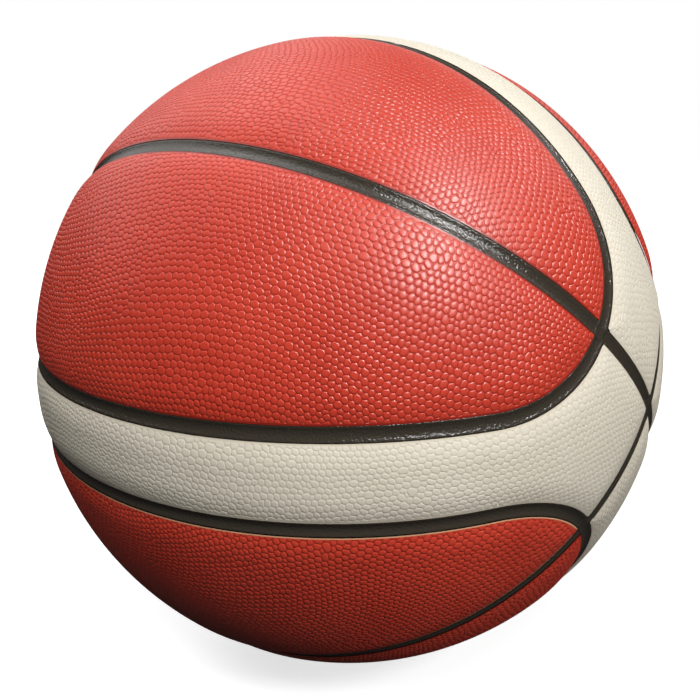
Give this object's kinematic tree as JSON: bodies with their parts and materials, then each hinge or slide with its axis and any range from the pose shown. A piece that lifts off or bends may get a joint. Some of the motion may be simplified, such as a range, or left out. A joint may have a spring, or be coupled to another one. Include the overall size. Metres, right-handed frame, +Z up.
{
  "type": "indoor basketball",
  "caption": "Inflated basketball with glued dark and pale cover panels over a rubber carcass, a wound thread layer, a bladder and an inflation valve.",
  "frame": {"origin": "centre of the ball", "axes": "+Z up; +X towards one of the two poles where the great-circle seams cross; the pale bands are centred on -Y (front), +Y (back), +Z (top) and -Z (bottom)"},
  "size_m": [0.2406, 0.242, 0.242],
  "materials": {
    "red_cover": "pebbled, satin",
    "pale_cover": "pebbled, satin",
    "channel_rubber": "fine grain, semi-gloss",
    "nylon_thread": "wound thread",
    "bladder_rubber": "smooth, matte",
    "valve_rubber": "smooth, satin"
  },
  "bodies": {
    "root": {"red_panel_front_top": "red_cover", "red_panel_front_bottom": "red_cover", "red_panel_back_top": "red_cover", "red_panel_back_bottom": "red_cover", "red_panel_top_front": "red_cover", "red_panel_top_back": "red_cover", "red_panel_bottom_front": "red_cover", "red_panel_bottom_back": "red_cover", "pale_panel_front": "pale_cover", "pale_panel_back": "pale_cover", "pale_panel_top": "pale_cover", "pale_panel_bottom": "pale_cover", "carcass": "channel_rubber", "winding": "nylon_thread", "bladder": "bladder_rubber", "valve_housing": "valve_rubber", "valve_plug": "valve_rubber"}
  },
  "joints": []
}
